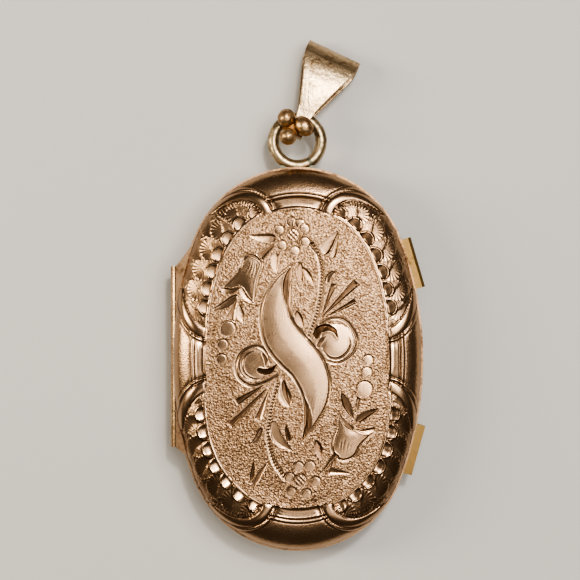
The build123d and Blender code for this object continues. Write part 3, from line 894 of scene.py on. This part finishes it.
# Stamens below one bell and above the other.
blade(leaves, bow((-6.0, 6.25), (-8.45, 4.85), 0.15), 0.72, 0.08, lean=-1, dark=0.2)
ray(leaves, (-6.0, 5.85), (-6.75, 3.85), 1.05, 0.10, lean=1, dark=0.75)
blade(leaves, curve((-5.86, 5.85), (-5.8, 4.9), (-5.45, 3.6)), 0.8, 0.08, lean=1, fullness=1.6, dark=0.3)
blade(leaves, curve((5.7, -6.15), (5.05, -4.9), (4.46, -3.5)), 0.75, 0.09, lean=1, fullness=1.3, dark=0.65)
ray(leaves, (5.85, -5.6), (6.17, -3.92), 0.42, 0.08, dark=0.6)
blade(leaves, bow((5.9, -6.3), (8.08, -5.08), 0.12), 0.65, 0.09, lean=-1, dark=0.65)

# Leaves about the rosettes, the single ones scattered between the stems, and the drop beside the S.
for line, width, depth, lean, fullness, dark in (
    (bow((-2.1, 12.05), (-4.75, 12.25), 0.14), 0.82, 0.08, -1, 0.6, 0.45),
    (bow((-2.05, 10.5), (-2.0, 8.4), -0.22), 0.75, 0.07, 1, 0.6, 0.35),
    (bow((2.6, 10.4), (4.05, 12.64), 0.1), 0.9, 0.07, -1, 0.6, 0.45),
    (bow((3.44, 10.05), (4.02, 12.4), -0.1), 0.55, 0.07, -1, 0.6, 0.5),
    (bow((0.5, 7.17), (0.29, 9.63), 0.08), 0.7, 0.09, -1, 1.4, 0.6),
    (bow((1.73, 7.11), (0.43, 9.09), -0.1), 0.55, 0.08, -1, 1.3, 0.5),
    (bow((0.7, 2.94), (-0.05, 4.71), 0.1), 0.75, 0.09, -1, 1.3, 0.7),
    (bow((2.3, -10.1), (1.8, -8.2), -0.1), 0.7, 0.09, -1, 1.2, 0.65),
    (bow((2.96, 7.58), (3.85, 8.68), 0.25), 0.42, 0.06, 1, 0.6, 0.3),
    (curve((-2.47, -6.3), (-2.2, -7.6), (-1.5, -8.5), (-0.55, -9.2)), 1.1, 0.08, -1, 0.6, 0.15),
    (bow((-0.72, -8.39), (-1.14, -6.64), 0.05), 0.48, 0.09, 1, 0.6, 0.8),
    (bow((-4.5, -12.45), (-4.29, -10.35), 0.05), 0.45, 0.08, 1, 0.6, 0.7),
    (bow((-4.57, -13.0), (-3.03, -10.49), 0.05), 0.42, 0.06, -1, 0.6, 0.6),
    (bow((-3.59, -6.99), (-4.57, -8.53), 0.15), 0.5, 0.05, -1, 0.6, 0.35),
    (curve((-1.48, -1.3), (-1.5, -2.9), (-0.85, -4.95)), 1.25, 0.10, 1, 1.7, 0.15),
    (curve((-1.35, -2.2), (-1.25, -3.5), (-0.75, -4.8)), 0.5, 0.09, 1, 0.6, 0.75),
):
    blade(leaves, line, width, depth, lean, fullness, dark)

# The sprays of rays, three from each scroll.
for start, end, width, lean in (
    ((2.5, 4.5), (3.65, 7.42), 0.6, -1),
    ((2.6, 4.3), (5.93, 7.6), 0.85, -1),
    ((2.85, 4.15), (5.8, 5.74), 0.55, -1),
    ((-3.3, -2.65), (-6.1, -4.4), 0.62, 1),
    ((-3.12, -3.05), (-6.7, -6.75), 0.68, 1),
    ((-2.78, -2.96), (-3.94, -6.17), 0.7, 1),
):
    ray(leaves, start, end, width, 0.10, lean, dark=0.85)

# Scrolls: a curled band round a smooth disc, with a hooked eye.
raised(leaves, oval_line((3.95, 1.75), 1.72, 1.8), 0.08, 0.5)
right_band = curve(
    (2.2, 3.45), (3.44, 4.01), (4.6, 3.85), (5.35, 3.19), (5.97, 1.82), (5.49, 0.46), (4.12, -0.43),
    (2.75, -0.23),
)
groove(leaves, right_band, 0.28, 0.07)
right_inner = curve((2.62, 0.73), (3.2, 0.12), (4.0, -0.02), (4.80, 0.46), (5.3, 1.3), (5.2, 2.1))
groove(leaves, right_inner, 0.26, 0.07)
right_hook = curve((1.87, 1.95), (2.07, 2.78), (2.89, 3.05), (3.7, 2.75), (4.05, 2.0))
blade(leaves, right_hook, 0.72, 0.14, lean=1, dark=0.95)
groove(leaves, curve((2.0, 1.1), (2.3, 1.7), (2.75, 2.15)), 0.36, 0.08)
raised(leaves, oval_line((-4.4, -0.65), 1.6, 1.7), 0.05, 0.5)
left_band = curve(
    (-2.78, -0.55), (-3.1, 0.5), (-3.6, 1.05), (-4.4, 1.25), (-5.58, 0.62), (-6.13, -0.64), (-5.86, -1.95),
    (-4.76, -2.69), (-3.3, -2.35), (-1.89, -1.59),
)
groove(leaves, left_band, 0.28, 0.07)
left_inner = curve((-4.4, 0.75), (-5.2, 0.3), (-5.55, -0.5), (-5.35, -1.4), (-4.6, -2.0), (-3.67, -2.1))
groove(leaves, left_inner, 0.24, 0.07)
left_hook = curve((-4.05, -1.1), (-3.3, -1.35), (-2.6, -1.15), (-2.03, -0.6))
blade(leaves, left_hook, 0.6, 0.13, lean=-1, dark=0.9)
groove(leaves, curve((-3.5, 0.5), (-3.15, -0.1), (-3.05, -0.9)), 0.4, 0.10, dirt=0.95)

# Beaded stems: a sunk line with a row of small grains left standing in it.
grain_count = 30
grain_width = 0.11
for stem in (
    curve((1.39, 11.5), (2.07, 10.45), (2.41, 8.95), (2.41, 7.45), (2.21, 5.67), (1.80, 4.03), (1.11, 2.1)),
    curve(
        (-1.89, -2.41), (-2.51, -4.74), (-2.85, -6.79), (-2.89, -7.69), (-2.68, -9.23), (-2.19, -10.63),
        (-1.21, -12.0),
    ),
):
    groove(leaves, stem, 0.42, 0.08, tapered=False, dirt=0.9)
    index, away, _, share = leaves.along(stem, 0.3)
    grains = np.cos(share * grain_count * 2 * pi)
    leaves.height[index] += 0.10 * bump(away, 0, grain_width) * (0.5 + 0.5 * grains)
    crest = bump(away, 0, grain_width) * (grains > -0.1)
    leaves.dirt[index] = leaves.dirt[index] * (1 - crest)
ray(leaves, (2.05, 10.3), (1.35, 11.6), 0.7, 0.08, dark=0.7)

# Rosettes, petals and the graded dots, struck with round punches. A rosette's middle is cross-hatched.
petal_radius = 0.52
for center in (
    (-1.85, 12.8), (-0.62, 13.6), (0.27, 13.43), (0.7, 12.92), (0.78, 11.6), (-0.25, 10.7), (-1.58, 11.27),
    (0.12, -10.84), (1.28, -10.77), (1.84, -12.34), (-0.76, -11.92), (-0.62, -13.36), (0.89, -13.54),
):
    disc(leaves, center, petal_radius)
hatch = 13
for center in ((-0.46, 12.3), (0.3, -12.24)):
    disc(leaves, center, 0.66)
    away = np.hypot(leaves.x - center[0], leaves.y - center[1])
    spot = away < 0.52
    grid = np.cos((leaves.x[spot] - center[0]) * hatch) * np.cos((leaves.y[spot] - center[1]) * hatch)
    leaves.height[spot] += 0.035 * grid
    leaves.dirt[spot] = 0.15 + 0.6 * (grid < -0.1)
for center, radius in (
    ((-6.95, 2.92), 0.8),
    ((-7.46, 1.34), 0.57),
    ((-7.57, -0.12), 0.55),
    ((7.06, -0.2), 0.54),
    ((6.96, -1.39), 0.54),
    ((6.72, -3.1), 0.83),
):
    disc(leaves, center, radius, rim=0.03)

# Wear: the field is no longer quite level, after a century of knocks.
in_field = ~(plain | quarter)
dents = 0.045 * np.sin(leaves.x * 0.62 + 0.8) * np.cos(leaves.y * 0.43 - 0.5)
dents += 0.02 * np.sin(leaves.x * 1.1 - leaves.y * 0.9)
leaves.height += dents * np.clip(-beyond / 2, 0, 1) * in_field
relief = leaves.height.reshape(x.shape)[..., None]
relief[-3:] = 0
surface = np.stack((x, y, z), -1) + n * relief
inner = dome(lining_rings, lining_field, lining_edge, crown, high[2] - wall, low[2], around)
front_surface = [surface[..., 0], surface[..., 1], surface[..., 2]]
front_cover = shell_mesh("front_cover_chased", front_surface, inner, leaves, 1)
most_triangles = 190000
thin_out(front_cover, most_triangles)
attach(front_cover, "front")
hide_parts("front_cover")
chased_gold = worked_gold("chased_rose_gold", rose, deep_rose, tarnish_and_shade_brown, matt_rough=0.16)
front_cover.data.materials.append(chased_gold)


# Nail lips: two small bent tabs of brighter, yellower gold, soldered to the rims so that a thumbnail
# can part the halves. Use has rubbed them bright at the edge.
# The lip colours are set far darker than the brighter, yellower gold they are made of, as painted shade.
lip_light_with_painted_shade = (0.29, 0.19, 0.08, 1)
lip_deep_with_painted_shade = (0.23, 0.14, 0.055, 1)
nail_gold = drawn_gold("nail_lip_gold", lip_light_with_painted_shade, lip_deep_with_painted_shade, tarnish_and_shade_brown, 0.38, -0.10, (1.0, 0.25, 1.0))
dress(nail_gold, "front_nail_lip", "back_nail_lip")


# Suspension ring: a closed round of paler gold wire, cut and soldered at its lower right, and seated
# in solder on the back rim. The solder has gone greenish grey.
pale_gold = (0.68, 0.56, 0.38, 1)
pale_deep = (0.42, 0.31, 0.18, 1)
grey_brown = (0.10, 0.07, 0.035, 1)
ring_gold = drawn_gold("ring_gold", pale_gold, pale_deep, grey_brown, 0.30, 0.18)
dress(ring_gold, "suspension_ring")

old_solder, nodes = new_material("old_solder")
crust = nodes.noise(2600.0, 5.0)
bloom = nodes.noise(700.0, 3.0)
grey = nodes.blend(bloom, (0.36, 0.36, 0.27, 1), (0.20, 0.19, 0.13, 1))
nodes.finish(
    base_color=nodes.blend(crust * 0.6, grey, (0.07, 0.06, 0.04, 1)),
    metallic=0.8,
    roughness=0.38 + crust * 0.3,
    normal=nodes.bump(crust + bloom * 0.6, 0.7, 0.06),
)
dress(old_solder, "ring_seat_solder", "ring_joint_solder")


# Bail: one strip of gold sheet, broad at the top and narrow at the neck, folded over where a chain
# runs through, and pinched round the ring. The shear left a burr along its edges; here the edges are only
# eased with a small bevel.
# It hangs askew, so it is shaped on axes of its own, across, up and out of its front, about its eye.
across = Vector((0.9033, -0.4289, 0.0)).normalized()
upward = Vector((0.4207, 0.8860, -0.1952)).normalized()
proud = across.cross(upward)
bail_eye = Vector((0.585, 24.048, 2.75))


def settle(piece, *modifiers):
    """Finishes a piece shaped in millimetres about the bail's eye, and puts it where it belongs."""
    for kind, settings in modifiers:
        step = piece.modifiers.new(kind.lower(), kind)
        for name, value in settings.items():
            setattr(step, name, value)
    take_up(piece)
    for step in list(piece.modifiers):
        bpy.ops.object.modifier_apply(modifier=step.name)
    turn = Matrix((across, upward, proud)).transposed().to_4x4()
    piece.matrix_world = Matrix.Scale(MM, 4) @ Matrix.Translation(bail_eye) @ turn
    bpy.ops.object.transform_apply(location=True, rotation=True, scale=True)
    bpy.ops.object.shade_smooth_by_angle(angle=radians(50))


def pick(piece, wanted):
    """Selects the points of a piece in edit mode that pass a test, and nothing else."""
    bpy.ops.mesh.select_mode(type="VERT")
    bpy.ops.mesh.select_all(action="DESELECT")
    shape = bmesh.from_edit_mesh(piece.data)
    for point in shape.verts:
        point.select = wanted(point.co)
    shape.select_flush(True)
    bmesh.update_edit_mesh(piece.data)


# The strip's run up the front, over the fold and down the back: how high, and how far out.
fold = (
    (-2.1, 0.175), (-1.3, 0.20), (-0.95, 0.45), (-0.70, 0.78), (-0.2, 0.925), (1.0, 1.12), (2.5, 1.36),
    (4.0, 1.46), (5.2, 1.40), (6.2, 1.20), (7.0, 0.82), (7.45, 0.40), (7.62, 0.0), (7.45, -0.40),
    (7.0, -0.82), (6.2, -1.20), (5.2, -1.32), (3.0, -1.14), (1.0, -0.98), (-0.2, -0.925), (-0.70, -0.78),
    (-0.95, -0.45), (-1.3, -0.20), (-2.1, -0.175),
)
neck_half, top_half = 0.72, 2.83
neck_end, taper_length = 0.4, 5.95


def half_width(v):
    """Half the strip's width, which grows evenly from the neck to the fold."""
    return neck_half + (top_half - neck_half) * min(max((v - neck_end) / taper_length, 0), 1)


bpy.ops.object.select_all(action="DESELECT")
bpy.ops.mesh.primitive_plane_add(size=1, location=(0, 0, 0))
bail = bpy.context.object
bail.name = "bail_strip"
bpy.ops.object.mode_set(mode="EDIT")
(v, w), (next_v, next_w) = fold[:2]
for low_side, (place_v, place_w) in ((True, (v, w)), (False, (next_v, next_w))):
    pick(bail, lambda point: (point.y < 0) == low_side and abs(abs(point.y) - 0.5) < 1e-4)
    bpy.ops.transform.resize(value=(2 * half_width(place_v), 1, 1), center_override=(0, 0, 0))
    bpy.ops.transform.translate(value=(0, place_v + (0.5 if low_side else -0.5), place_w))
for (v, w), (next_v, next_w) in zip(fold[1:-1], fold[2:]):
    pick(bail, lambda point: abs(point.y - v) < 1e-3 and abs(point.z - w) < 1e-3)
    bpy.ops.mesh.extrude_edges_move(TRANSFORM_OT_translate={"value": (0, next_v - v, next_w - w)})
    widen = half_width(next_v) / half_width(v)
    bpy.ops.transform.resize(value=(widen, 1, 1), center_override=(0, next_v, next_w))
pick(bail, lambda point: True)
bpy.ops.mesh.subdivide(number_cuts=1)
bpy.ops.mesh.normals_make_consistent(inside=False)
# The front face is beaten to a slight crown, and the broad end dips a little towards its sides.
pick(bail, lambda point: abs(point.x) < 0.05 and 0.8 < point.y < 7.0 and point.z > 0.3)
bpy.ops.transform.translate(value=(0, 0, 0.09))
bpy.ops.object.mode_set(mode="OBJECT")
settle(
    bail,
    ("SUBSURF", {"levels": 3, "render_levels": 3, "boundary_smooth": "PRESERVE_CORNERS"}),
    ("SOLIDIFY", {"thickness": 0.35, "offset": 0.0}),
    ("BEVEL", {"width": 0.06, "segments": 3, "limit_method": "ANGLE", "angle_limit": radians(50)}),
)
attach(bail, "bail")
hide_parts("bail")
satin_gold, nodes = new_material("satin_bail_gold")
patches = nodes.noise(420.0, 3.0)
fine = nodes.noise(2300.0, 4.0)
brushed = nodes.noise(5200.0, 2.0, (1.0, 0.16, 1.0))
worn = nodes.blend(patches, (0.70, 0.54, 0.36, 1), (0.46, 0.325, 0.19, 1))
soiled = nodes.clamped(patches + fine - 1.04, 2.4)
nodes.finish(
    base_color=nodes.blend(soiled, worn, (0.17, 0.085, 0.035, 1)),
    metallic=1.0,
    roughness=0.24 + fine * 0.14 + patches * 0.08,
    normal=nodes.bump(brushed * 0.7 + fine * 1.2, 0.5, 0.06),
)
bail.data.materials.append(satin_gold)


# Trefoil seat: the lump of hard solder that fuses three beads to the front of the neck. Old tarnish
# lies orange-brown between them.
def round_seat(reach, turn):
    """A place some way from the middle of the seat, at an angle in degrees."""
    return -0.5 + reach * cos(radians(turn)), -1.7 + reach * sin(radians(turn))


seat_height = 1.03
seat_lumps = ((0, 0, 0.98, 0.45), (1, -90, 0.70, 0.36), (1, 30, 0.70, 0.36), (1, 150, 0.70, 0.36))
lumps = []
for reach, turn, radius, rise in seat_lumps:
    place = (*round_seat(reach, turn), seat_height)
    bpy.ops.object.select_all(action="DESELECT")
    bpy.ops.mesh.primitive_uv_sphere_add(segments=32, ring_count=16, radius=radius, location=place)
    bpy.ops.object.mode_set(mode="EDIT")
    bpy.ops.mesh.select_all(action="SELECT")
    bpy.ops.transform.resize(value=(1, 1, rise), center_override=place)
    bpy.ops.object.mode_set(mode="OBJECT")
    lumps.append(bpy.context.object)
bpy.ops.object.select_all(action="DESELECT")
for lump in lumps:
    lump.select_set(True)
bpy.context.view_layer.objects.active = lumps[0]
bpy.ops.object.join()
seat = bpy.context.object
seat.name = "trefoil_seat"
bpy.ops.object.transform_apply(location=True, rotation=True, scale=True)
ripple = bpy.data.textures.new("cast_ripple", "CLOUDS")
ripple.noise_scale = 0.45
settle(
    seat,
    ("REMESH", {"mode": "VOXEL", "voxel_size": 0.055}),
    ("DISPLACE", {"texture": ripple, "strength": 0.10, "mid_level": 0.5}),
    ("SMOOTH", {"factor": 0.5, "iterations": 8}),
)
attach(seat, "bail")
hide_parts("trefoil_plate")
orange_gold = (0.34, 0.18, 0.075, 1)
orange_deep = (0.18, 0.085, 0.035, 1)
seat_gold = drawn_gold("tarnished_seat_gold", orange_gold, orange_deep, tarnish_and_shade_brown, 0.42, 0.22)
seat.data.materials.append(seat_gold)


# Beads: three little balls melted from scraps of gold, so no two are quite round or alike. Each sank
# a little into the seat as it was fused.
bead_light = (0.62, 0.44, 0.27, 1)
bead_deep = (0.42, 0.26, 0.13, 1)
bead_soil = (0.13, 0.055, 0.02, 1)
bead_gold = drawn_gold("bead_gold", bead_light, bead_deep, bead_soil, 0.30, 0.16)
sunk, bead_height = -0.45, 1.45
for name, turn, size, lengthen in (
    ("bead_bottom", -90, (0.86, 0.84, 0.84), 0),
    ("bead_left", 150, (0.88, 0.94, 0.88), 20),
    ("bead_right", 30, (1.12, 0.90, 0.88), 155),
):
    bpy.ops.object.select_all(action="DESELECT")
    bpy.ops.mesh.primitive_uv_sphere_add(segments=48, ring_count=32, radius=1, location=(0, 0, 0))
    bead = bpy.context.object
    bead.name = "fused_" + name
    bpy.ops.object.mode_set(mode="EDIT")
    pick(bead, lambda point: True)
    bpy.ops.transform.resize(value=size, center_override=(0, 0, 0))
    pick(bead, lambda point: point.z < sunk)
    bpy.ops.transform.resize(value=(1.10, 1.10, 0.8), center_override=(0, 0, sunk))
    bpy.ops.object.mode_set(mode="OBJECT")
    place = Matrix.Translation((*round_seat(1.1, turn), bead_height))
    bead.matrix_world = place @ Matrix.Rotation(radians(lengthen), 4, "Z")
    bpy.ops.object.transform_apply(location=True, rotation=True, scale=True)
    settle(
        bead,
        ("DISPLACE", {"texture": ripple, "strength": 0.09, "mid_level": 0.5}),
        ("SMOOTH", {"factor": 0.5, "iterations": 5}),
    )
    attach(bead, "bail")
    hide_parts(name)
    bead.data.materials.append(bead_gold)
